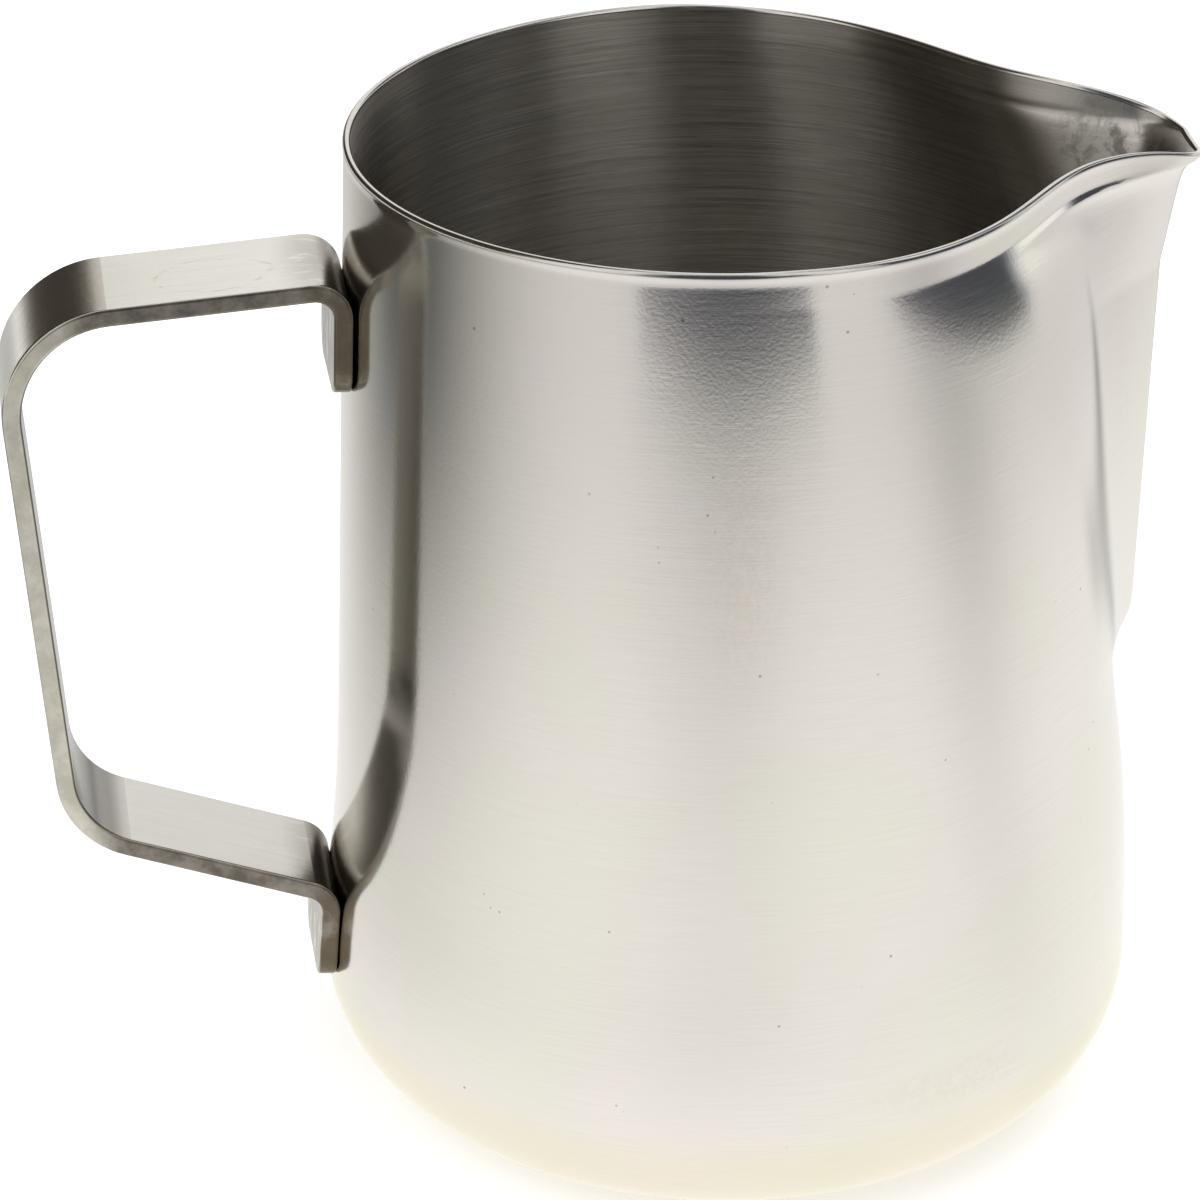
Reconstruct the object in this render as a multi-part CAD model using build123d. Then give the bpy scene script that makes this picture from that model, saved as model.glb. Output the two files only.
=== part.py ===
"""Milk frothing pitcher: one drawn steel shell with a pulled spout, and a bent flat-bar handle
spot-welded to its wall.

Frame: origin at the centre of the underside, +Z up, +X out through the spout.
The handle is on the -X side.  Millimetres throughout.
"""
from build123d import *
import math
import os

# ---- body shell, outside sizes ----
BODY_HEIGHT = 108.9        # base to the level part of the rim
WALL = 0.7                 # sheet thickness, wall and base
CORNER_RADIUS = 14.7       # between base and wall
NECK_RADIUS = 39.35        # at the rim
TAPER = 0.042              # radius gained per millimetre down from the rim
BELLY_BULGE = 1.2          # extra radius low on the wall
BELLY_HEIGHT = 16.5
BELLY_SPREAD = 13.0

# ---- rim: level round the back, falling away towards the spout ----
RIM_SLOPE = 0.03           # drop per millimetre forward of the axis
RIM_BEND_START = 34.0      # distance forward at which the lip begins to droop
RIM_BEND = 0.0074
RIM_TIP_BEND = 1.5e-5

# ---- spout ----
SPOUT_BOTTOM = 52.5        # height where the ridge starts to round back into the wall
BOTTOM_ROUNDING = 0.1      # how fast the ridge drops back below that, per mm squared
RIDGE_REACH = 45.1         # distance of the ridge from the axis at SPOUT_BOTTOM
RIDGE_LEAN = 0.033         # ridge reach gained per millimetre of height
FLARE_START = 92.0         # height where the ridge bends outward
FLARE_LEAN = 0.15          # extra lean above FLARE_START
TIP_HEIGHT = 104.2         # height of the pouring tip
TIP_LIP = 1.8              # how far the lip turns out at the tip
TIP_LIP_DEPTH = 0.9
MOUTH_HEIGHT = 105.0       # the mouth keeps its plan shape above this height
MOUTH_HALF_ANGLE = 25.0    # half the angle between the flanks at the mouth, degrees
LOWER_HALF_ANGLE = 65.7    # the same far below the mouth
FLANK_FADE = 18.6          # depth over which the mouth's shape fades away
FLANK_FALL = 40.0          # how fast a flank drops behind the wall past the crease, mm/rad^2
RIDGE_RADIUS = 7.0         # plan radius of the ridge
MOUTH_RIDGE_EXTRA = 1.6    # added to that at the mouth
CREASE_BLEND = 1.3         # softness of the valley between flank and wall
MOUTH_CREASE_BLEND = 8.4   # added to that at the mouth
CREASE_FADE = 6.0          # depth over which that addition fades away
MOUTH_PINCH = 6.5          # how far the wall is drawn in beside the mouth
PINCH_FADE = 14.0          # depth over which that fades away
PINCH_FROM = 45.0          # height below which the wall isn't drawn in at all
PINCH_CLIMB = 20.0         # height over which the drawing-in starts
PINCH_ANGLE = math.radians(100)   # the drawing-in ends this far round from the spout
HIDDEN_REACH = 20.0        # ridge reach where there is no spout, well inside the base corner
SWELL = 1.1                # slight swelling of the wall below the spout
SWELL_HEIGHT = 33.5
SWELL_HALF_HEIGHT = 18.8
SWELL_ANGLE = math.radians(45)

# ---- handle: flat bar, centre line given as distance from the axis and height ----
STRIP_WIDTH = 14.5
STRIP_THICKNESS = 2.0
STRIP_EDGE_ROUND = 0.35
FOOT_CORNER_ROUND = 3.0
UPPER_FOOT_END = 84.3
UPPER_RUN_HEIGHT = 96.55   # where the top run's line meets the upper foot's line
LOWER_FOOT_END = 15.0
LOWER_RUN_HEIGHT = 25.9    # where the bottom run's line meets the lower foot's line
TOP_CORNER = (75.7, 94.6)
BOTTOM_CORNER = (71.6, 36.0)
FOOT_BEND = 3.0            # centre-line bend radii
TOP_BEND = 11.0
BOTTOM_BEND = 9.5
BEDDING = 0.35             # depth to which each foot is bedded onto the round wall

# ---- spot welds, a pair under each foot ----
NUGGET_DIAMETER = 3.0
NUGGET_SPACING = 4.6
NUGGET_IN_WALL = 0.35
NUGGET_IN_FOOT = 1.0
NUGGET_END_ROUND = 0.25
UPPER_NUGGET_HEIGHT = 88.3
LOWER_NUGGET_HEIGHT = 18.7

POINTS_PER_SIDE = 30       # points on half of each cross-section curve
CORNER_STEPS = 8           # cross-sections along the rounded corner
WALL_SECTION_HEIGHTS = (
    [CORNER_RADIUS, 18, 22, 27, 32, 37, 42, 45, 47, 48.5, 50, 51.5, 53, 55, 58, 62, 67, 73, 79, 85]
    + [90, 92.5, 95, 97.5, 100, 101.5, 102.7, 103.5, 104.2, 105, 106.5, 108, 110]
)


def mouth_share(height, length):
    """One at the mouth, fading away below it."""
    return math.exp(-max(MOUTH_HEIGHT - height, 0.0) / length)


def bell(value, middle, spread):
    """Smooth bump, one at the middle."""
    return math.exp(-(((value - middle) / spread) ** 2))


def round_radius(height, inset):
    """Radius of the wall away from the spout, with the rounded corner at its foot."""
    level = max(height, CORNER_RADIUS)
    radius = NECK_RADIUS + TAPER * (BODY_HEIGHT - level) - inset
    radius += BELLY_BULGE * bell(level, BELLY_HEIGHT, BELLY_SPREAD)
    corner = CORNER_RADIUS - inset
    below = min(level - height, corner)
    return radius - corner + math.sqrt(corner**2 - below**2)


def swell(height):
    """Extra radius of the gentle swelling below the spout."""
    offset = (height - SWELL_HEIGHT) / SWELL_HALF_HEIGHT
    return SWELL * math.cos(math.pi / 2 * offset) ** 2 if abs(offset) < 1 else 0.0


def wall_pinch(height):
    """How far the wall is drawn in towards the axis beside the spout."""
    climb = min(max((height - PINCH_FROM) / PINCH_CLIMB, 0.0), 1.0)
    smooth_climb = climb * climb * (3 - 2 * climb)
    return smooth_climb * MOUTH_PINCH * mouth_share(height, PINCH_FADE)


def ridge_reach(height):
    """Distance of the ridge's outer face from the axis."""
    reach = RIDGE_REACH + RIDGE_LEAN * (height - SPOUT_BOTTOM)
    reach += FLARE_LEAN * max(height - FLARE_START, 0.0)
    reach += TIP_LIP * math.exp((min(height, TIP_HEIGHT) - TIP_HEIGHT) / TIP_LIP_DEPTH)
    reach -= BOTTOM_ROUNDING * max(SPOUT_BOTTOM - height, 0.0) ** 2
    return max(reach, HIDDEN_REACH)


def flank_half_angle(height):
    """Half the angle between the two flanks, in radians."""
    narrowing = (LOWER_HALF_ANGLE - MOUTH_HALF_ANGLE) * mouth_share(height, FLANK_FADE)
    return math.radians(LOWER_HALF_ANGLE - narrowing)


def wedge_radius(angle, height, inset):
    """Polar radius of two straight flanks joined by the rounded ridge."""
    half = flank_half_angle(height)
    ridge = RIDGE_RADIUS + MOUTH_RIDGE_EXTRA * mouth_share(height, FLANK_FADE)
    centre = ridge_reach(height) - ridge
    ridge -= inset
    tangent = math.atan2(ridge * math.cos(half), centre + ridge * math.sin(half))
    if angle < tangent:
        return centre * math.cos(angle) + math.sqrt(ridge**2 - (centre * math.sin(angle)) ** 2)
    nearest = centre * math.sin(half) + ridge
    square_on = math.pi / 2 - half
    if angle < square_on:
        return nearest / math.cos(square_on - angle)
    return nearest - FLANK_FALL * (angle - square_on) ** 2


def section_radius(angle, height, inset):
    """Polar radius of the cross-section; the angle is measured from the spout."""
    angle = abs(angle)
    share = min(angle / PINCH_ANGLE, 1.0)
    wall = round_radius(height, inset)
    wall -= wall_pinch(height) * (1 + math.cos(math.pi * share)) / 2
    wall += swell(height) * bell(angle, 0.0, SWELL_ANGLE)
    wedge = wedge_radius(angle, height, inset)
    blend = CREASE_BLEND + MOUTH_CREASE_BLEND * mouth_share(height, CREASE_FADE)
    overlap = max(blend - abs(wall - wedge), 0.0)
    return max(wall, wedge) + overlap**2 / (4 * blend)


def section_wire(height, inset):
    """Closed cross-section curve, its points closest together at the spout."""
    steps = [i / POINTS_PER_SIDE for i in range(POINTS_PER_SIDE + 1)]
    side = [math.pi * step * (0.35 + 0.65 * step) for step in steps]
    angles = side + [-angle for angle in reversed(side[1:-1])]
    points = []
    for angle in angles:
        radius = section_radius(angle, height, inset)
        points.append(Vector(radius * math.cos(angle), radius * math.sin(angle), height))
    return Wire([Edge.make_spline(points, periodic=True)])


def cup_solid(inset):
    """Solid bounded by the wall's outer face, or by its inner face when inset by the sheet."""
    corner = CORNER_RADIUS - inset
    turns = [math.pi / 2 * step / CORNER_STEPS for step in range(CORNER_STEPS)]
    heights = [CORNER_RADIUS - corner * math.cos(turn) for turn in turns] + WALL_SECTION_HEIGHTS
    return Solid.make_loft([section_wire(height, inset) for height in heights], False)


def rim_height(forward):
    """Height of the rim's edge at a distance in front of the axis."""
    ahead = max(forward, 0.0)
    bent = max(forward - RIM_BEND_START, 0.0)
    return BODY_HEIGHT - RIM_SLOPE * ahead - RIM_BEND * bent**2 - RIM_TIP_BEND * bent**4


def above_rim():
    """Everything above the rim: level behind the axis, drooping to the tip in front."""
    margin = 60.0
    tip = 56.0
    steps = [tip * step / 14 for step in range(1, 15)]
    edge_points = [(0.0, BODY_HEIGHT)] + [(forward, rim_height(forward)) for forward in steps]
    with BuildSketch(Plane.XZ) as profile:
        with BuildLine():
            Polyline(
                (0, BODY_HEIGHT),
                (-margin, BODY_HEIGHT),
                (-margin, BODY_HEIGHT + margin),
                (tip, BODY_HEIGHT + margin),
                (tip, rim_height(tip)),
            )
            Spline(edge_points)
        make_face()
    return extrude(profile.sketch, margin, both=True).solid()


def wall_line(height):
    """X of the handle's centre line where it lies flat against the wall."""
    return -(round_radius(height, 0.0) + STRIP_THICKNESS / 2 - BEDDING)


def bent_bar():
    """The handle's flat bar with its four bends, rounded feet and eased edges."""
    corners = [
        (wall_line(UPPER_FOOT_END), UPPER_FOOT_END),
        (wall_line(UPPER_RUN_HEIGHT), UPPER_RUN_HEIGHT),
        (-TOP_CORNER[0], TOP_CORNER[1]),
        (-BOTTOM_CORNER[0], BOTTOM_CORNER[1]),
        (wall_line(LOWER_RUN_HEIGHT), LOWER_RUN_HEIGHT),
        (wall_line(LOWER_FOOT_END), LOWER_FOOT_END),
    ]
    with BuildPart() as bar:
        with BuildLine(Plane.XZ) as route:
            FilletPolyline(*corners, radius=[FOOT_BEND, TOP_BEND, BOTTOM_BEND, FOOT_BEND])
        path = route.wires()[0]
        with BuildSketch(Plane(origin=path @ 0, x_dir=(0, 1, 0), z_dir=path % 0)):
            Rectangle(STRIP_WIDTH, STRIP_THICKNESS)
        sweep()
        foot_ends = [bar.faces().sort_by_distance(path @ end)[0] for end in (0, 1)]
        corners_to_round = [
            edge for face in foot_ends for edge in face.edges() if edge.length < 2 * STRIP_THICKNESS
        ]
        fillet(corners_to_round, FOOT_CORNER_ROUND)
        fillet(bar.edges(), STRIP_EDGE_ROUND)
    return bar.part.solid()


def nugget_pair(height):
    """Two weld nuggets side by side, reaching from the foot into the wall."""
    contact_x = -round_radius(height, 0.0)
    middle_x = contact_x + (NUGGET_IN_WALL - NUGGET_IN_FOOT) / 2
    nuggets = []
    for side in (-1, 1):
        place = Location((middle_x, side * NUGGET_SPACING / 2, height), (0, 90, 0))
        nugget = Cylinder(NUGGET_DIAMETER / 2, NUGGET_IN_WALL + NUGGET_IN_FOOT)
        nugget = fillet(nugget.edges(), NUGGET_END_ROUND)
        nuggets.append((place * nugget).solid())
    return nuggets


def write_node(name, solids):
    """Write one sub-part as parts/NAME.step."""
    node = Compound(label=name, children=solids)
    export_step(node, f"parts/{name}.step")


def main():
    outside = cup_solid(0.0)
    shell = (outside - above_rim()) - cup_solid(WALL)
    bar = bent_bar() - outside
    upper_nuggets = nugget_pair(UPPER_NUGGET_HEIGHT)
    lower_nuggets = nugget_pair(LOWER_NUGGET_HEIGHT)
    for nugget in upper_nuggets + lower_nuggets:
        shell = shell - nugget
        bar = bar - nugget

    os.makedirs("parts", exist_ok=True)
    write_node("pitcher_body", shell.solids())
    write_node("handle", bar.solids())
    write_node("upper_weld_nuggets", upper_nuggets)
    write_node("lower_weld_nuggets", lower_nuggets)


main()
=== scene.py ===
"""Milk frothing pitcher in drawn stainless steel: body, finishes, studio and camera round the frame.

Frame: metres, origin at the centre of the underside, +Z up, +X out through the spout, handle on -X.
Shape formulas work in millimetres and are scaled once, when the mesh is made.
"""
import math

import bpy
from mathutils import Matrix, Vector


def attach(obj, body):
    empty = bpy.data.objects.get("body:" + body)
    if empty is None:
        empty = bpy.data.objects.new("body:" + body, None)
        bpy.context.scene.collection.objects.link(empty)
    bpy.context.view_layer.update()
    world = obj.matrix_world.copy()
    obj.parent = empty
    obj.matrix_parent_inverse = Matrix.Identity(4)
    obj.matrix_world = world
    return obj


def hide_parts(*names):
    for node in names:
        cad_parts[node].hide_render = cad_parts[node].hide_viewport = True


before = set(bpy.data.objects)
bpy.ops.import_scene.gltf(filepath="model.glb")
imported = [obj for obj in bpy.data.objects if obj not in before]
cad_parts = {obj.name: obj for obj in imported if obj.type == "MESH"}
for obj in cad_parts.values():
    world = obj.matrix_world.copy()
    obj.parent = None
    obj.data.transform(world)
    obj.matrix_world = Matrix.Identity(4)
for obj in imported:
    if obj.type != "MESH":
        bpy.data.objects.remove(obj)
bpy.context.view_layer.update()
MM = 0.001

# ---- body shell, millimetres ----
BODY_HEIGHT = 108.9        # base to the level part of the rim
WALL = 0.7                 # sheet thickness
CORNER_RADIUS = 14.7       # between base and wall
NECK_RADIUS = 39.35        # at the rim
TAPER = 0.042              # radius gained per millimetre down from the rim
BELLY_BULGE = 1.2          # extra radius low on the wall
BELLY_HEIGHT = 16.5
BELLY_SPREAD = 13.0
RIM_SLOPE = 0.03           # rim drop per millimetre forward of the axis
RIM_BEND_START = 34.0      # distance forward at which the lip begins to droop
RIM_BEND = 0.0074
RIM_TIP_BEND = 1.5e-5
LIP_TURN = 0.12            # how far the finished edge stands out from the wall
LIP_DEPTH = 0.55           # height over which it does so
LIP_FADE = 0.25            # angle from the spout within which it fades out, radians

# ---- spout ----
SPOUT_BOTTOM = 52.5        # height where the ridge starts to round back into the wall
BOTTOM_ROUNDING = 0.1      # how fast the ridge drops back below that, per mm squared
RIDGE_REACH = 45.1         # distance of the ridge from the axis at SPOUT_BOTTOM
RIDGE_LEAN = 0.033         # ridge reach gained per millimetre of height
FLARE_START = 92.0         # height where the ridge bends outward
FLARE_LEAN = 0.15          # extra lean above FLARE_START
TIP_HEIGHT = 104.2         # height of the pouring tip
TIP_LIP = 1.8              # how far the lip turns out at the tip
TIP_LIP_DEPTH = 0.9
MOUTH_HEIGHT = 105.0       # the mouth keeps its plan shape above this height
MOUTH_HALF_ANGLE = 25.0    # half the angle between the flanks at the mouth, degrees
LOWER_HALF_ANGLE = 65.7    # the same far below the mouth
FLANK_FADE = 18.6          # depth over which the mouth's shape fades away
FLANK_FALL = 40.0          # how fast a flank drops behind the wall past the crease, mm/rad^2
RIDGE_RADIUS = 7.0         # plan radius of the ridge
MOUTH_RIDGE_EXTRA = 1.6    # added to that at the mouth
CREASE_BLEND = 1.3         # softness of the valley between flank and wall
MOUTH_CREASE_BLEND = 8.4   # added to that at the mouth
CREASE_FADE = 10.0         # depth over which that addition fades away; 6 in the CAD body
MOUTH_PINCH = 6.5          # how far the wall is drawn in beside the mouth
PINCH_FADE = 14.0          # depth over which that fades away
PINCH_FROM = 45.0          # height below which the wall isn't drawn in at all
PINCH_CLIMB = 20.0         # height over which the drawing-in starts
PINCH_ANGLE = math.radians(100)   # the drawing-in ends this far round from the spout
HIDDEN_REACH = 20.0        # ridge reach where there is no spout, well inside the base corner
SWELL = 1.1                # slight swelling of the wall below the spout
SWELL_HEIGHT = 33.5
SWELL_HALF_HEIGHT = 18.8
SWELL_ANGLE = math.radians(45)

# ---- mesh density ----
COLUMNS_PER_SIDE = 200
WALL_ROWS = 130
CORNER_ROWS = 22
BASE_ROWS = 12
RIM_ROWS = 10
RIM_OVERLAP = 2            # rows of wall each side of the edge that share its finish
RIM_PASSES = 6             # rounds taken to settle the rim's height
COLUMN_CROWDING = 0.35     # spacing of columns at the spout, as a share of even spacing
ROW_CROWDING = 1.6         # how much closer rows stand towards the rim

# ---- painted shade: dark line along the crease ----
CREASE_SHADE_WIDTH = 0.28        # half width of the line
CREASE_SHADE_LIMIT = math.radians(45)
CREASE_SHADE_TOP = (6.0, 20.0)   # depths below the mouth between which it sets in
CREASE_SHADE_FOOT = 6.0          # it fades out over this height above and below SPOUT_BOTTOM


def mouth_share(height, length):
    """One at the mouth, fading away below it."""
    return math.exp(-max(MOUTH_HEIGHT - height, 0.0) / length)


def bell(value, middle, spread):
    """Smooth bump, one at the middle."""
    return math.exp(-(((value - middle) / spread) ** 2))


def smooth(value, low, high):
    """Smooth change from none to one as the value goes from low to high."""
    share = min(max((value - low) / (high - low), 0.0), 1.0)
    return share * share * (3 - 2 * share)


def round_radius(height, inset):
    """Radius of the wall away from the spout, with the rounded corner at its foot."""
    level = max(height, CORNER_RADIUS)
    radius = NECK_RADIUS + TAPER * (BODY_HEIGHT - level) - inset
    radius += BELLY_BULGE * bell(level, BELLY_HEIGHT, BELLY_SPREAD)
    corner = CORNER_RADIUS - inset
    below = min(level - height, corner)
    return radius - corner + math.sqrt(corner**2 - below**2)


def swell(height):
    """Extra radius of the gentle swelling below the spout."""
    offset = (height - SWELL_HEIGHT) / SWELL_HALF_HEIGHT
    return SWELL * math.cos(math.pi / 2 * offset) ** 2 if abs(offset) < 1 else 0.0


def wall_pinch(height):
    """How far the wall is drawn in towards the axis beside the spout."""
    climb = smooth(height, PINCH_FROM, PINCH_FROM + PINCH_CLIMB)
    return climb * MOUTH_PINCH * mouth_share(height, PINCH_FADE)


def ridge_reach(height):
    """Distance of the ridge's outer face from the axis."""
    reach = RIDGE_REACH + RIDGE_LEAN * (height - SPOUT_BOTTOM)
    reach += FLARE_LEAN * max(height - FLARE_START, 0.0)
    reach += TIP_LIP * math.exp((min(height, TIP_HEIGHT) - TIP_HEIGHT) / TIP_LIP_DEPTH)
    reach -= BOTTOM_ROUNDING * max(SPOUT_BOTTOM - height, 0.0) ** 2
    return max(reach, HIDDEN_REACH)


def flank_half_angle(height):
    """Half the angle between the two flanks, in radians."""
    narrowing = (LOWER_HALF_ANGLE - MOUTH_HALF_ANGLE) * mouth_share(height, FLANK_FADE)
    return math.radians(LOWER_HALF_ANGLE - narrowing)


def wedge_radius(angle, height, inset):
    """Polar radius of two straight flanks joined by the rounded ridge."""
    half = flank_half_angle(height)
    ridge = RIDGE_RADIUS + MOUTH_RIDGE_EXTRA * mouth_share(height, FLANK_FADE)
    centre = ridge_reach(height) - ridge
    ridge -= inset
    tangent = math.atan2(ridge * math.cos(half), centre + ridge * math.sin(half))
    if angle < tangent:
        return centre * math.cos(angle) + math.sqrt(ridge**2 - (centre * math.sin(angle)) ** 2)
    nearest = centre * math.sin(half) + ridge
    square_on = math.pi / 2 - half
    if angle < square_on:
        return nearest / math.cos(square_on - angle)
    return nearest - FLANK_FALL * (angle - square_on) ** 2


def wall_radius(angle, height, inset):
    """Polar radius of the wall without its spout, drawn in above and swollen below."""
    share = min(angle / PINCH_ANGLE, 1.0)
    wall = round_radius(height, inset)
    wall -= wall_pinch(height) * (1 + math.cos(math.pi * share)) / 2
    return wall + swell(height) * bell(angle, 0.0, SWELL_ANGLE)


def section_radius(angle, height, inset):
    """Polar radius of the cross-section; the angle is measured from the spout."""
    angle = abs(angle)
    wall = wall_radius(angle, height, inset)
    wedge = wedge_radius(angle, height, inset)
    blend = CREASE_BLEND + MOUTH_CREASE_BLEND * mouth_share(height, CREASE_FADE)
    overlap = max(blend - abs(wall - wedge), 0.0)
    return max(wall, wedge) + overlap**2 / (4 * blend)


def rim_height(angle):
    """Height of the finished edge, level at the back and drooping to the tip in front."""
    height = BODY_HEIGHT
    for _ in range(RIM_PASSES):
        forward = section_radius(angle, height, 0.0) * math.cos(angle)
        bent = max(forward - RIM_BEND_START, 0.0)
        height = BODY_HEIGHT - RIM_SLOPE * max(forward, 0.0)
        height -= RIM_BEND * bent**2 + RIM_TIP_BEND * bent**4
    return height


def column(angle):
    """Points (radius, height) of one column: out under the base, up, over the rim, down inside.

    The edge is a half round as thick as the sheet and the turned lip together. The lip fades
    out at the pouring tip, where the sheet itself turns out.
    """
    top = rim_height(angle)
    lip = LIP_TURN * (1 - bell(angle, 0.0, LIP_FADE))
    edge = (WALL + lip) / 2
    shoulder = top - edge
    sides = []
    for inset in (0.0, WALL):
        corner = CORNER_RADIUS - inset
        flat_radius = round_radius(inset, inset)
        side = [(flat_radius * row / BASE_ROWS, inset) for row in range(1, BASE_ROWS + 1)]
        for row in range(1, CORNER_ROWS):
            height = CORNER_RADIUS - corner * math.cos(math.pi / 2 * row / CORNER_ROWS)
            side.append((section_radius(angle, height, inset), height))
        for row in range(WALL_ROWS + 1):
            climb = 1 - (1 - row / WALL_ROWS) ** ROW_CROWDING
            height = CORNER_RADIUS + (shoulder - CORNER_RADIUS) * climb
            turn_out = lip * bell(shoulder - height, 0.0, LIP_DEPTH) if inset == 0.0 else 0.0
            side.append((section_radius(angle, height, inset) + turn_out, height))
        sides.append(side)
    outside, inside = sides
    middle = (outside[-1][0] + inside[-1][0]) / 2
    half_width = (outside[-1][0] - inside[-1][0]) / 2
    rim = []
    for row in range(1, RIM_ROWS):
        turn = math.pi * row / RIM_ROWS
        rim.append((middle + half_width * math.cos(turn), shoulder + edge * math.sin(turn)))
    return outside, rim, inside[::-1]


def crease_shade_share(angle, height):
    """Painted shade: one along the valley where a flank of the spout meets the wall, none elsewhere."""
    angle = abs(angle)
    if angle >= CREASE_SHADE_LIMIT:
        return 0.0
    gap = wall_radius(angle, height, 0.0) - wedge_radius(angle, height, 0.0)
    crisp = smooth(MOUTH_HEIGHT - height, *CREASE_SHADE_TOP)
    crisp *= smooth(height, SPOUT_BOTTOM - CREASE_SHADE_FOOT, SPOUT_BOTTOM + CREASE_SHADE_FOOT)
    return crisp * bell(gap, 0.0, CREASE_SHADE_WIDTH)


OUTSIDE, RIM, INSIDE = range(3)   # the shell's finishes, in the order of its materials


def make_shell():
    """The whole cup as one closed mesh; its three finishes are outside, rim and inside."""
    steps = [i / COLUMNS_PER_SIDE for i in range(COLUMNS_PER_SIDE + 1)]
    side = [math.pi * step * (COLUMN_CROWDING + (1 - COLUMN_CROWDING) * step) for step in steps]
    angles = side + [-angle for angle in reversed(side[1:-1])]
    columns = {angle: column(angle) for angle in side}
    vertices = [(0.0, 0.0, 0.0), (0.0, 0.0, WALL * MM)]
    crease_shade_values = [0.0, 0.0]
    for angle in angles:
        ahead = math.cos(angle) * MM
        aside = math.sin(angle) * MM
        for part in columns[abs(angle)]:
            for radius, height in part:
                crease_shade_values.append(crease_shade_share(angle, height))
                vertices.append((radius * ahead, radius * aside, height * MM))
    outside, rim, inside = columns[side[0]]
    rows = len(outside) + len(rim) + len(inside)
    count = len(angles)
    faces = []
    finishes = []
    for i in range(count):
        here = 2 + i * rows
        there = 2 + (i + 1) % count * rows
        faces.append((0, there, here))
        finishes.append(OUTSIDE)
        for row in range(rows - 1):
            faces.append((here + row, there + row, there + row + 1, here + row + 1))
            if row < len(outside) - 1 - RIM_OVERLAP:
                finishes.append(OUTSIDE)
            elif row < len(outside) + len(rim) - 1 + RIM_OVERLAP:
                finishes.append(RIM)
            else:
                finishes.append(INSIDE)
        faces.append((1, here + rows - 1, there + rows - 1))
        finishes.append(INSIDE)
    mesh = bpy.data.meshes.new("pitcher_shell")
    mesh.from_pydata(vertices, [], faces)
    mesh.polygons.foreach_set("material_index", finishes)
    mesh.polygons.foreach_set("use_smooth", [True] * len(faces))
    # painted shade along the crease, carried to the outside finish as a point attribute
    mesh.attributes.new("crease_shade", "FLOAT", "POINT").data.foreach_set("value", crease_shade_values)
    mesh.update()
    shell = bpy.data.objects.new("pitcher_shell", mesh)
    bpy.context.scene.collection.objects.link(shell)
    return shell


# ---- shader helpers ----
class Shader:
    """A material and short ways to add nodes to it. Sizes given to textures are in millimetres."""

    def __init__(self, name):
        self.material = bpy.data.materials.new(name)
        self.material.use_nodes = True
        self.tree = self.material.node_tree
        self.surface = self.tree.nodes["Principled BSDF"]
        self.place = self.add("ShaderNodeTexCoord").outputs["Object"]

    def add(self, kind, **settings):
        """New node with the given settings."""
        node = self.tree.nodes.new(kind)
        for key, value in settings.items():
            setattr(node, key, value)
        return node

    def feed(self, source, socket):
        """Link an output to a socket, or set the socket's value."""
        if isinstance(source, bpy.types.NodeSocket):
            self.tree.links.new(source, socket)
        else:
            socket.default_value = source

    def math(self, operation, first, second=0.0):
        """Result of a calculation on one or two values."""
        node = self.add("ShaderNodeMath", operation=operation)
        for socket, value in zip(node.inputs, (first, second)):
            self.feed(value, socket)
        return node.outputs[0]

    def noise(self, grain, detail=3.0, roughness=0.5, distortion=0.0):
        """Noise whose grain has the given size along X, Y and Z."""
        mapping = self.add("ShaderNodeMapping")
        mapping.inputs["Scale"].default_value = [1 / (size * MM) for size in grain]
        self.feed(self.place, mapping.inputs["Vector"])
        texture = self.add("ShaderNodeTexNoise")
        texture.inputs["Scale"].default_value = 1.0
        texture.inputs["Detail"].default_value = detail
        texture.inputs["Roughness"].default_value = roughness
        texture.inputs["Distortion"].default_value = distortion
        self.feed(mapping.outputs[0], texture.inputs["Vector"])
        return texture.outputs["Fac"]

    def step(self, value, low, high, start=0.0, end=1.0):
        """Smooth change from start to end as the value goes from low to high."""
        node = self.add("ShaderNodeMapRange", interpolation_type="SMOOTHSTEP")
        for socket, number in zip(node.inputs, (value, low, high, start, end)):
            self.feed(number, socket)
        return node.outputs[0]

    def spot(self, centre, size):
        """Distance from an ellipsoid's centre as a share of its half sizes: one at its surface."""
        mapping = self.add("ShaderNodeMapping", vector_type="TEXTURE")
        mapping.inputs["Location"].default_value = [value * MM for value in centre]
        mapping.inputs["Scale"].default_value = [value * MM for value in size]
        self.feed(self.place, mapping.inputs["Vector"])
        length = self.add("ShaderNodeVectorMath", operation="LENGTH")
        self.feed(mapping.outputs[0], length.inputs[0])
        return length.outputs["Value"]

    def mix(self, share, first, second):
        """Colour that goes from first to second as the share goes from none to one."""
        node = self.add("ShaderNodeMix", data_type="RGBA")
        self.feed(share, node.inputs["Factor"])
        for name, colour in (("A", first), ("B", second)):
            socket = next(s for s in node.inputs if s.name == name and s.type == "RGBA")
            if not isinstance(colour, bpy.types.NodeSocket):
                colour = (*colour, 1.0)
            self.feed(colour, socket)
        return next(s for s in node.outputs if s.type == "RGBA")

    def bump(self, height, depth, onto=None):
        """Surface relief of the given depth in millimetres."""
        node = self.add("ShaderNodeBump")
        node.inputs["Distance"].default_value = depth * MM
        self.feed(height, node.inputs["Height"])
        if onto is not None:
            self.feed(onto, node.inputs["Normal"])
        return node.outputs[0]

    def around_axis(self):
        """Stretch highlights up and down, across brushing that runs round the axis."""
        tangent = self.add("ShaderNodeTangent", direction_type="RADIAL", axis="Z")
        self.feed(tangent.outputs[0], self.surface.inputs["Tangent"])
        self.surface.inputs["Anisotropic Rotation"].default_value = 0.25

    def finish(self, colour, roughness, normal=None, anisotropic=0.0):
        """Make the surface metal with this colour, roughness and relief, and return the material."""
        self.surface.inputs["Metallic"].default_value = 1.0
        self.surface.inputs["Anisotropic"].default_value = anisotropic
        self.feed(colour, self.surface.inputs["Base Color"])
        self.feed(roughness, self.surface.inputs["Roughness"])
        if normal is not None:
            self.feed(normal, self.surface.inputs["Normal"])
        return self.material


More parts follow.
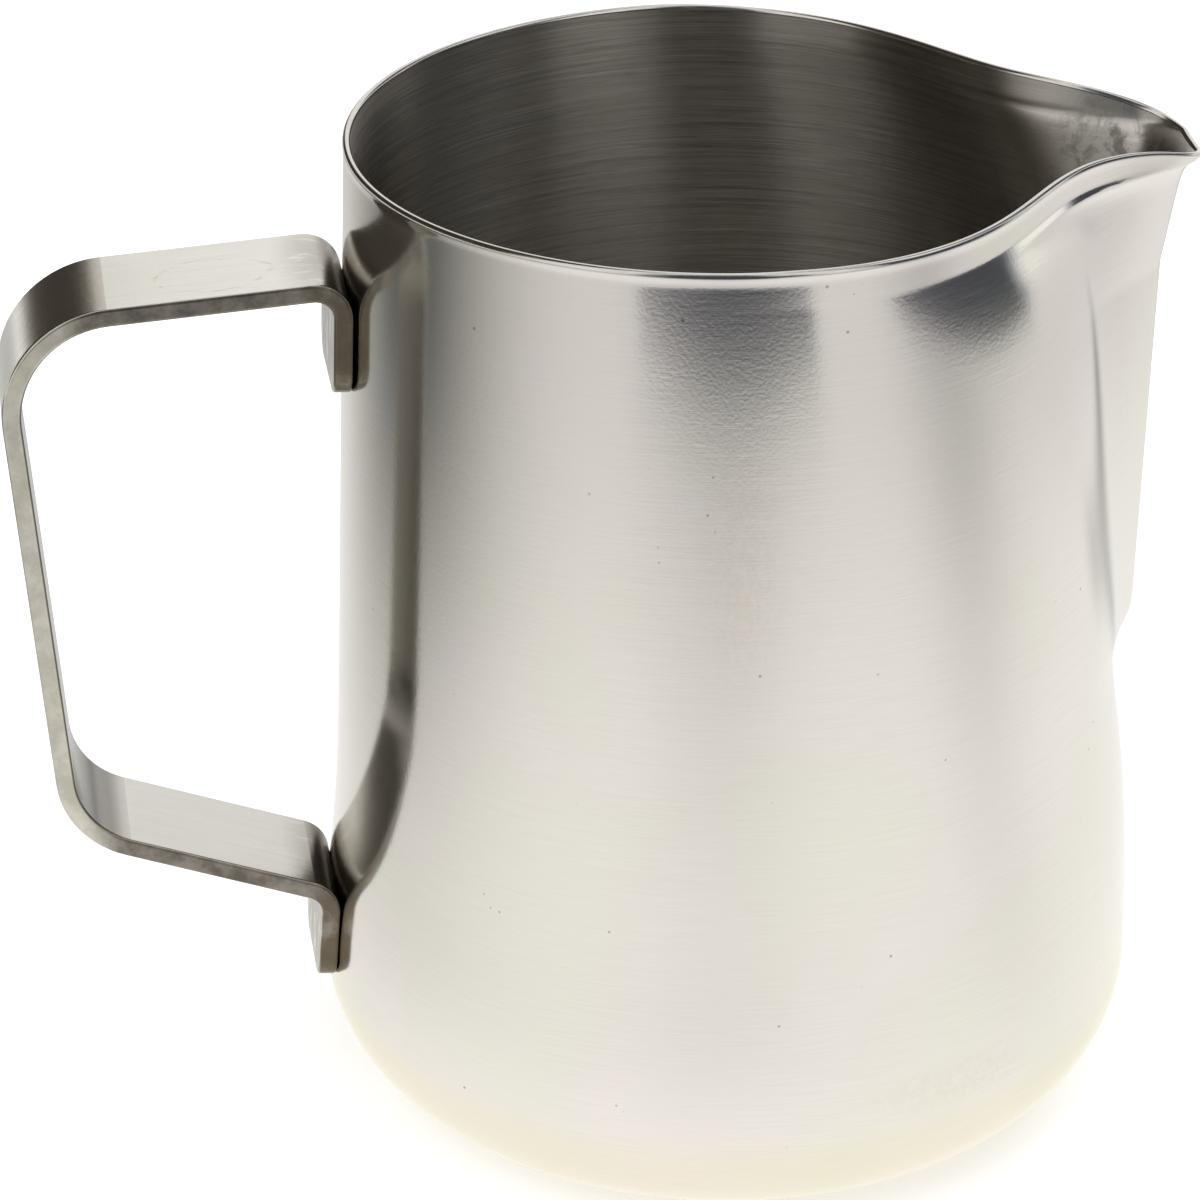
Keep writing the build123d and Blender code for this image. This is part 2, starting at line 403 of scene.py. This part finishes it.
# ---- marks: centre and half sizes, millimetres ----
RUN_MARK = ((-5.0, -40.2, 77.0), (5.5, 6.0, 21.0))
LOW_MARK = ((18.0, -41.0, 17.0), (15.0, 9.0, 3.6))
SPECK_PATCH = ((10.0, -42.0, 31.5), (3.6, 4.0, 3.4))
SPECKS_PER_METRE = 620.0
SPOUT_STAIN = ((41.0, 4.0, 98.0), (11.0, 12.0, 12.0))
SPOUT_PAINTED_LIGHT = (24.0, 38.0)       # painted light: the inside turns lighter between these two X
GRIP = (-70.5, -66.0)             # the bar's edges turn duller between these two X
UPPER_HEAT = ((-42.0, 0.0, 90.5), (7.5, 20.0, 11.0))
LOWER_HEAT = ((-45.0, 0.0, 20.5), (7.5, 20.0, 11.0))
RING_MARK = ((-53.5, -1.5, 97.5), (6.5, 4.6, 4.6))


def outside_finish():
    """Bright satin steel, faintly brushed round the body, with dried milk and water marks, and painted
    shade along the spout's crease.
    """
    s = Shader("shell_outside")
    brushing = s.noise((7.0, 7.0, 0.07), detail=3.0, roughness=0.6)
    clouds = s.noise((22.0, 22.0, 30.0), detail=2.0)
    peel = s.noise((0.36, 0.36, 0.36), detail=1.5)
    colour = s.mix(s.step(clouds, 0.36, 0.64), (0.85, 0.81, 0.785), (0.825, 0.81, 0.745))
    colour = s.mix(s.step(brushing, 0.35, 0.72, 0.0, 0.16), colour, (0.66, 0.64, 0.60))

    blotches = s.noise((0.7, 0.7, 1.3), detail=7.0, roughness=0.85)
    run_mark = s.step(s.spot(*RUN_MARK), 0.1, 1.0, 1.0, 0.0)
    low_mark = s.step(s.spot(*LOW_MARK), 0.4, 1.0, 1.0, 0.0)
    marks = s.math("MAXIMUM", run_mark, low_mark)
    marks = s.math("MULTIPLY", marks, s.step(blotches, 0.34, 0.70))
    colour = s.mix(s.math("MULTIPLY", marks, 0.27), colour, (0.70, 0.62, 0.45))

    voronoi = s.add("ShaderNodeTexVoronoi")
    voronoi.inputs["Scale"].default_value = SPECKS_PER_METRE
    s.feed(s.place, voronoi.inputs["Vector"])
    dots = s.step(voronoi.outputs["Distance"], 0.07, 0.13, 1.0, 0.0)
    patches = s.step(s.noise((7.0, 7.0, 7.0), detail=1.0), 0.66, 0.70)
    near_specks = s.step(s.spot(*SPECK_PATCH), 0.5, 1.0, 1.0, 0.0)
    specks = s.math("MULTIPLY", dots, s.math("MAXIMUM", patches, near_specks))
    colour = s.mix(s.math("MULTIPLY", specks, 0.55), colour, (0.20, 0.17, 0.14))

    # painted shade: the valley where a flank of the spout meets the wall is darkened
    crease_shade = s.add("ShaderNodeAttribute", attribute_name="crease_shade").outputs["Fac"]
    colour = s.mix(s.math("MULTIPLY", crease_shade, 0.72), colour, (0.17, 0.165, 0.155))

    roughness = s.step(brushing, 0.25, 0.75, 0.105, 0.17)
    roughness = s.math("ADD", roughness, s.math("MULTIPLY", marks, 0.03))
    normal = s.bump(brushing, 0.0008)
    normal = s.bump(peel, 0.0048, normal)
    s.around_axis()
    return s.finish(colour, roughness, normal, anisotropic=0.25)


def inside_finish():
    """Duller steel, brushed round the wall in long coarse scratches, stained in the spout, with painted
    light that makes the inside of the spout lighter.
    """
    s = Shader("shell_inside")
    fine = s.noise((14.0, 14.0, 0.10), detail=4.0, roughness=0.75)
    coarse = s.noise((26.0, 26.0, 0.55), detail=5.0, roughness=0.75)
    clouds = s.noise((16.0, 16.0, 22.0), detail=3.0)
    colour = s.mix(clouds, (0.60, 0.57, 0.515), (0.49, 0.46, 0.405))
    colour = s.mix(s.step(coarse, 0.40, 0.64, 0.0, 0.7), colour, (0.27, 0.255, 0.23))
    colour = s.mix(s.step(fine, 0.50, 0.68, 0.0, 0.7), colour, (0.84, 0.82, 0.78))

    position = s.add("ShaderNodeSeparateXYZ")
    s.feed(s.place, position.inputs[0])
    # painted light: the inside of the spout is made lighter towards the tip
    spout_painted_light = s.step(position.outputs["X"], *(limit * MM for limit in SPOUT_PAINTED_LIGHT), 0.0, 0.70)
    colour = s.mix(spout_painted_light, colour, (0.86, 0.83, 0.77))

    blotches = s.noise((3.2, 3.2, 3.2), detail=6.0, roughness=0.75, distortion=0.8)
    spout = s.step(s.spot(*SPOUT_STAIN), 0.5, 1.0, 1.0, 0.0)
    marks = s.math("MULTIPLY", spout, s.step(blotches, 0.44, 0.62))
    colour = s.mix(s.math("MULTIPLY", marks, 0.60), colour, (0.16, 0.145, 0.12))

    roughness = s.step(coarse, 0.3, 0.7, 0.34, 0.43)
    roughness = s.math("ADD", roughness, s.math("MULTIPLY", marks, 0.12))
    normal = s.bump(fine, 0.0035)
    normal = s.bump(coarse, 0.006, normal)
    s.around_axis()
    return s.finish(colour, roughness, normal, anisotropic=0.96)


def rim_finish():
    """The turned edge, rubbed brighter than the wall."""
    s = Shader("rim_edge")
    wear = s.noise((3.0, 3.0, 3.0), detail=4.0)
    colour = s.mix(wear, (0.70, 0.685, 0.655), (0.56, 0.545, 0.515))
    roughness = s.step(wear, 0.3, 0.7, 0.13, 0.24)
    normal = s.bump(s.noise((0.9, 0.9, 0.25), detail=3.0), 0.002)
    return s.finish(colour, roughness, normal)


def handle_finish():
    """Satin flat bar brushed along its length, with darker sheared edges, heat marks at the feet, and
    painted shade on the faces turned towards the body and downwards.
    """
    s = Shader("handle_steel_finish")
    brushing = s.noise((12.0, 0.09, 12.0), detail=4.0, roughness=0.65)
    clouds = s.noise((9.0, 9.0, 9.0), detail=3.0)
    colour = s.mix(clouds, (0.79, 0.787, 0.752), (0.725, 0.723, 0.688))
    colour = s.mix(s.step(brushing, 0.4, 0.7, 0.0, 0.35), colour, (0.62, 0.60, 0.56))

    facing = s.add("ShaderNodeSeparateXYZ")
    s.feed(s.add("ShaderNodeTexCoord").outputs["Normal"], facing.inputs[0])
    sideways = s.math("ABSOLUTE", facing.outputs["Y"])
    edge = s.step(sideways, 0.50, 0.85)
    grime = s.noise((4.0, 1.2, 4.0), detail=5.0, roughness=0.7)
    rubbed = s.mix(s.step(grime, 0.35, 0.65), (0.72, 0.695, 0.61), (0.56, 0.54, 0.47))
    dull = s.mix(s.step(grime, 0.35, 0.65), (0.30, 0.275, 0.24), (0.15, 0.135, 0.115))
    position = s.add("ShaderNodeSeparateXYZ")
    s.feed(s.place, position.inputs[0])
    on_grip = s.step(position.outputs["X"], *(limit * MM for limit in GRIP), 1.0, 0.0)
    colour = s.mix(edge, colour, s.mix(on_grip, dull, rubbed))

    # painted shade: faces turned towards the body and faces turned downwards are darkened
    facing_wall = s.step(facing.outputs["X"], 0.22, 0.60)
    facing_down = s.step(facing.outputs["Z"], -0.85, -0.45, 1.0, 0.0)
    inner_and_under_shade = s.math("MAXIMUM", facing_wall, facing_down)
    colour = s.mix(s.math("MULTIPLY", inner_and_under_shade, 0.85), colour, (0.15, 0.14, 0.125))

    upper = s.step(s.spot(*UPPER_HEAT), 0.3, 1.0, 1.0, 0.0)
    lower = s.step(s.spot(*LOWER_HEAT), 0.3, 1.0, 1.0, 0.0)
    heat = s.math("MULTIPLY", s.math("MAXIMUM", upper, lower), s.step(grime, 0.26, 0.50))
    colour = s.mix(s.math("MULTIPLY", heat, 0.88), colour, (0.15, 0.12, 0.085))

    ring = s.spot(*RING_MARK)
    wobble = s.math("MULTIPLY", s.noise((3.0, 3.0, 3.0)), 0.5)
    ring = s.math("ADD", ring, wobble)
    inner = s.step(ring, 1.12, 1.17)
    outer = s.step(ring, 1.17, 1.23, 1.0, 0.0)
    mark = s.math("MULTIPLY", s.math("MULTIPLY", inner, outer), s.step(grime, 0.44, 0.60))
    colour = s.mix(s.math("MULTIPLY", mark, 0.38), colour, (0.42, 0.32, 0.20))

    roughness = s.step(brushing, 0.25, 0.75, 0.16, 0.26)
    roughness = s.math("ADD", roughness, s.math("MULTIPLY", edge, 0.16))
    normal = s.bump(brushing, 0.003)
    normal = s.bump(s.noise((0.7, 0.7, 0.7), detail=2.0), 0.005, normal)
    return s.finish(colour, roughness, normal)


def weld_finish():
    """Heat-tinted weld metal."""
    s = Shader("weld_metal")
    tint = s.noise((0.8, 0.8, 0.8), detail=4.0)
    colour = s.mix(s.step(tint, 0.35, 0.65), (0.33, 0.27, 0.21), (0.24, 0.25, 0.30))
    roughness = s.step(tint, 0.3, 0.7, 0.38, 0.55)
    normal = s.bump(tint, 0.05)
    return s.finish(colour, roughness, normal)


# ---- pieces ----
shell = make_shell()
for finish in (outside_finish(), rim_finish(), inside_finish()):
    shell.data.materials.append(finish)
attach(shell, "root")
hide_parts("pitcher_body")

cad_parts["handle"].data.materials[0] = handle_finish()
weld = weld_finish()
for name in ("upper_weld_nuggets", "lower_weld_nuggets"):
    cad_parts[name].data.materials[0] = weld


# ---- studio ----
# Diffuse light comes from a white world. What the steel mirrors is a white table round the
# object with a dimmer room beyond it and soft light overhead: a disc and a dome that only
# reflected rays can see. Angles are in degrees round the axis from +X.
TABLE_RADIUS = 620.0
TABLE_DROP = 0.3           # how far the mirrored table lies below the base
TABLE_RINGS = 124
TABLE_LEVEL = 1.06
NEAR_FADE = 0.08           # light the table loses close to the object
FAR_FADE = 0.22            # and further out
DOME_RADIUS = 2500.0
DOME_FOOT = -20.0          # elevation at which the dome starts, and the angle it spans
DOME_SPAN = 110.0
DOME_RINGS = 110
ROOM_LEVEL = 1.05
SHEET_DIRECTIONS = 240
COOL_SHADE = (0.88, 0.94, 1.12)
BROWN_SHADE = (1.20, 1.0, 0.80)
WARM_LIGHT = (1.0, 0.985, 0.955)
# middle, spread and depth of each dimmer direction of the table
TABLE_SHADES = (
    (-101.0, 19.0, 0.20),
    (-28.0, 15.0, 0.24),
    (160.0, 36.0, 0.88),
    (62.0, 16.0, 0.35),
    (100.0, 10.0, 0.12),
)
# middle, half width and distance of each direction in which the table ends early
TABLE_ENDS = ((-97.0, 33.0, 318.0), (-14.0, 32.0, 462.0), (72.0, 24.0, 400.0))
END_CURVE = 80.0           # extra distance at the two sides of each of those
# middle, half width, foot and top of each dark thing standing round the room
ROOM_DARKS = (
    (-97.0, 31.0, -90.0, 14.0),
    (-14.0, 32.0, -90.0, 30.0),
    (113.0, 22.0, 1.0, 30.0),
    (-102.0, 24.0, -90.0, 84.0),
    (-34.0, 13.0, -90.0, 78.0),
    (34.0, 17.0, 12.0, 78.0),
    (150.0, 52.0, 2.0, 78.0),
)
EDGE_SOFTNESS = 8.0        # degrees over which the sides of all of those fade
TOP_SOFTNESS = 8.0         # degrees either way over which a dark thing's top fades
FOOT_SOFTNESS = 4.0        # and its foot
END_SOFTNESS = 14.0        # distance over which the table's end fades, either way
SHADOW_LEVEL = 0.07
HANDLE_SIDE = 150.0        # direction behind the handle, where the dark is deeper and brown
HANDLE_SIDE_EXTENT = (52.0, 72.0)
HANDLE_SIDE_LOSS = 0.45


def turn_between(first, second):
    """Smallest angle between two directions, degrees."""
    return abs((first - second + 180.0) % 360.0 - 180.0)


def blend_light(level, dark, direction):
    """Colour of light: warm where bright, cool where dark, brown where dark behind the handle."""
    handle_side = 1 - smooth(turn_between(direction, HANDLE_SIDE), *HANDLE_SIDE_EXTENT)
    level += (SHADOW_LEVEL * (1 - HANDLE_SIDE_LOSS * handle_side) - level) * dark
    light = []
    for cool, brown, warm in zip(COOL_SHADE, BROWN_SHADE, WARM_LIGHT):
        shade = cool + (brown - cool) * handle_side
        light.append(level * (warm + (shade - warm) * dark))
    return light


def room_light(direction, elevation):
    """Brightness of the room: bright overhead, with dark things standing round it."""
    lit = 1.0
    for middle, half_width, foot, top in ROOM_DARKS:
        across = smooth(half_width - turn_between(direction, middle), 0.0, EDGE_SOFTNESS)
        below_top = smooth(top - elevation, -TOP_SOFTNESS, TOP_SOFTNESS)
        above_foot = smooth(elevation - foot, -FOOT_SOFTNESS, FOOT_SOFTNESS)
        lit *= 1 - across * below_top * above_foot
    return blend_light(ROOM_LEVEL, 1 - lit, direction)


def table_light(direction, distance):
    """Brightness of the table top, falling away from the object and cut off where it ends."""
    level = TABLE_LEVEL
    level -= NEAR_FADE * smooth(distance, 30.0, 130.0) + FAR_FADE * smooth(distance, 110.0, 360.0)
    shade = 0.0
    for middle, spread, depth in TABLE_SHADES:
        shade += depth * bell(turn_between(direction, middle), 0.0, spread)
    level *= 1 - shade * smooth(distance, 10.0, 310.0)
    end = TABLE_RADIUS
    for middle, half_width, limit in TABLE_ENDS:
        turn = turn_between(direction, middle)
        share = smooth(half_width - turn, 0.0, EDGE_SOFTNESS)
        end += (limit + END_CURVE * (turn / half_width) ** 2 - end) * share
    dark = smooth(distance, end - END_SOFTNESS, end + END_SOFTNESS)
    red, green, blue = blend_light(level, dark, direction)
    near = 1 - smooth(distance, 46.0, 68.0)
    return [red, green * (1 - 0.02 * near), blue * (1 - 0.12 * near)]


def polar_sheet(name, rings, point, light):
    """Sheet of rings round the axis that gives out the light worked out at each of its points."""
    vertices = []
    colours = []
    for ring in range(rings + 1):
        share = ring / rings
        for step in range(SHEET_DIRECTIONS):
            direction = 360.0 * step / SHEET_DIRECTIONS
            vertices.append([value * MM for value in point(share, math.radians(direction))])
            colours.extend([*light(direction, share), 1.0])
    faces = []
    for ring in range(rings):
        lower = ring * SHEET_DIRECTIONS
        upper = lower + SHEET_DIRECTIONS
        for here in range(SHEET_DIRECTIONS):
            there = (here + 1) % SHEET_DIRECTIONS
            faces.append((lower + here, lower + there, upper + there, upper + here))
    mesh = bpy.data.meshes.new(name)
    mesh.from_pydata(vertices, [], faces)
    attribute = mesh.attributes.new("light", "FLOAT_COLOR", "POINT")
    attribute.data.foreach_set("color", colours)
    sheet = bpy.data.objects.new(name, mesh)
    bpy.context.scene.collection.objects.link(sheet)
    material = bpy.data.materials.new(name)
    material.use_nodes = True
    nodes = material.node_tree.nodes
    nodes.clear()
    source = nodes.new("ShaderNodeAttribute")
    source.attribute_name = "light"
    emission = nodes.new("ShaderNodeEmission")
    output = nodes.new("ShaderNodeOutputMaterial")
    material.node_tree.links.new(source.outputs["Color"], emission.inputs["Color"])
    material.node_tree.links.new(emission.outputs[0], output.inputs["Surface"])
    mesh.materials.append(material)
    sheet.visible_camera = False
    sheet.visible_diffuse = False
    sheet.visible_transmission = False
    sheet.visible_volume_scatter = False
    sheet.visible_shadow = False


def table_point(share, direction):
    """Point of the mirrored table, its distance given as a share of the radius."""
    distance = TABLE_RADIUS * share
    return distance * math.cos(direction), distance * math.sin(direction), -TABLE_DROP


def dome_point(share, direction):
    """Point of the mirrored room, its elevation given as a share of the dome's span."""
    elevation = math.radians(DOME_FOOT + DOME_SPAN * share)
    flat = DOME_RADIUS * math.cos(elevation)
    return flat * math.cos(direction), flat * math.sin(direction), DOME_RADIUS * math.sin(elevation)


def table_share_light(direction, share):
    """Light of the mirrored table at a share of its radius."""
    return table_light(direction, TABLE_RADIUS * share)


def dome_share_light(direction, share):
    """Light of the mirrored room at a share of the dome's span."""
    return room_light(direction, DOME_FOOT + DOME_SPAN * share)


polar_sheet("mirrored_table", TABLE_RINGS, table_point, table_share_light)
polar_sheet("mirrored_room", DOME_RINGS, dome_point, dome_share_light)

FLOOR_HALF_WIDTH = 4.0     # metres
FLOOR_LEVEL = -0.0002
FLOOR_CORNERS = ((-1, -1), (1, -1), (1, 1), (-1, 1))
floor_points = [(x * FLOOR_HALF_WIDTH, y * FLOOR_HALF_WIDTH, FLOOR_LEVEL) for x, y in FLOOR_CORNERS]
floor_mesh = bpy.data.meshes.new("studio_floor")
floor_mesh.from_pydata(floor_points, [], [(0, 1, 2, 3)])
floor = bpy.data.objects.new("studio_floor", floor_mesh)
bpy.context.scene.collection.objects.link(floor)
floor_shader = Shader("pale_floor")
floor_clouds = floor_shader.noise((90.0, 90.0, 90.0))
floor_tone = floor_shader.mix(floor_clouds, (0.93, 0.93, 0.925), (0.96, 0.96, 0.955))
floor_shader.feed(floor_tone, floor_shader.surface.inputs["Base Color"])
floor_shader.surface.inputs["Roughness"].default_value = 0.9
floor_shader.surface.inputs["Emission Color"].default_value = (1.0, 1.0, 0.99, 1.0)
floor_shader.surface.inputs["Emission Strength"].default_value = 0.25
floor_mesh.materials.append(floor_shader.material)
floor.visible_glossy = False

world = bpy.data.worlds.new("studio_world")
bpy.context.scene.world = world
world.use_nodes = True
background = world.node_tree.nodes["Background"]
background.inputs["Color"].default_value = (1.0, 1.0, 1.0, 1.0)
background.inputs["Strength"].default_value = 1.0


def soft_light(name, place, aim, size, power):
    """Large square lamp facing a point, left out of what the steel mirrors."""
    lamp = bpy.data.lights.new(name, "AREA")
    lamp.shape = "SQUARE"
    lamp.size = size
    lamp.energy = power
    holder = bpy.data.objects.new(name, lamp)
    holder.location = place
    holder.rotation_euler = (Vector(aim) - Vector(place)).to_track_quat("-Z", "Y").to_euler()
    holder.visible_glossy = False
    bpy.context.scene.collection.objects.link(holder)


soft_light("key_light", (-0.9, -0.9, 1.5), (0.0, 0.0, 0.0), 1.4, 9.0)
soft_light("fill_light", (1.0, 0.6, 1.4), (0.0, 0.0, 0.0), 1.4, 6.0)

# ---- camera ----
CAMERA_AIM = Vector((-13.6, 0.0, 55.7)) * MM
CAMERA_DISTANCE = 498.0 * MM
CAMERA_AZIMUTH = math.radians(-8.12)     # round from -Y towards +X
CAMERA_ELEVATION = math.radians(26.55)
CAMERA_ROLL = math.radians(-0.59)
LENS = 138.8
SENSOR = 36.0

toward = Vector(
    (
        -math.sin(CAMERA_AZIMUTH) * math.cos(CAMERA_ELEVATION),
        math.cos(CAMERA_AZIMUTH) * math.cos(CAMERA_ELEVATION),
        -math.sin(CAMERA_ELEVATION),
    )
)
level = Vector((math.cos(CAMERA_AZIMUTH), math.sin(CAMERA_AZIMUTH), 0.0))
upright = level.cross(toward)
right = level * math.cos(CAMERA_ROLL) + upright * math.sin(CAMERA_ROLL)
up = right.cross(toward)
camera_data = bpy.data.cameras.new("camera")
camera_data.lens = LENS
camera_data.sensor_width = SENSOR
camera = bpy.data.objects.new("camera", camera_data)
bpy.context.scene.collection.objects.link(camera)
axes = Matrix((right, up, -toward)).transposed()
camera.matrix_world = Matrix.Translation(CAMERA_AIM - toward * CAMERA_DISTANCE) @ axes.to_4x4()
bpy.context.scene.camera = camera
bpy.context.scene.view_settings.view_transform = "Standard"
bpy.context.scene.view_settings.look = "None"
